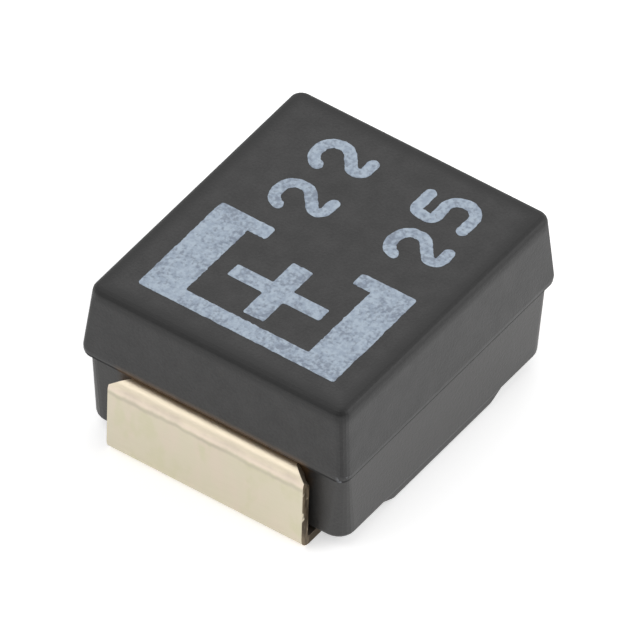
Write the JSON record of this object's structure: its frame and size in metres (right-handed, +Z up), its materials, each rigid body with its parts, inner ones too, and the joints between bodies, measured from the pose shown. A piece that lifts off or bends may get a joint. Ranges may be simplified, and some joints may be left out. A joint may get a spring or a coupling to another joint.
{
  "type": "moulded tantalum chip capacitor",
  "caption": "Surface-mount tantalum chip capacitor: a dark moulded case with a printed polarity bracket, folded sheet terminals at both ends, and its sintered element inside.",
  "frame": {"origin": "middle of the footprint, on the board the feet stand on", "axes": "+X from the anode end, which carries the polarity bracket, to the cathode end; +Z up, away from the board; +Y across the case"},
  "size_m": [0.0036, 0.003, 0.0018],
  "materials": {
    "moulded_epoxy": "matt, finely pitted mould finish",
    "plated_terminal": "pale gold plating, satin, drawn by the rolling of the sheet",
    "tantalum_wire": "drawn grey metal",
    "white_washer": "smooth white fluoropolymer",
    "sintered_tantalum": "porous sintered grain",
    "conductive_polymer": "dull blue-black film",
    "carbon_coat": "matt graphite",
    "silver_paint": "grainy metallic paint",
    "silver_adhesive": "cured silver-filled resin",
    "marking_ink": "thin pale blue print, mottled by the pitted case under it"
  },
  "bodies": {
    "root": {"moulded_case": "moulded_epoxy", "anode_terminal": "plated_terminal", "cathode_terminal": "plated_terminal", "anode_wire": "tantalum_wire", "wire_washer": "white_washer", "tantalum_pellet": "sintered_tantalum", "polymer_layer": "conductive_polymer", "carbon_layer": "carbon_coat", "silver_layer": "silver_paint", "silver_adhesive": "silver_adhesive"}
  },
  "joints": []
}
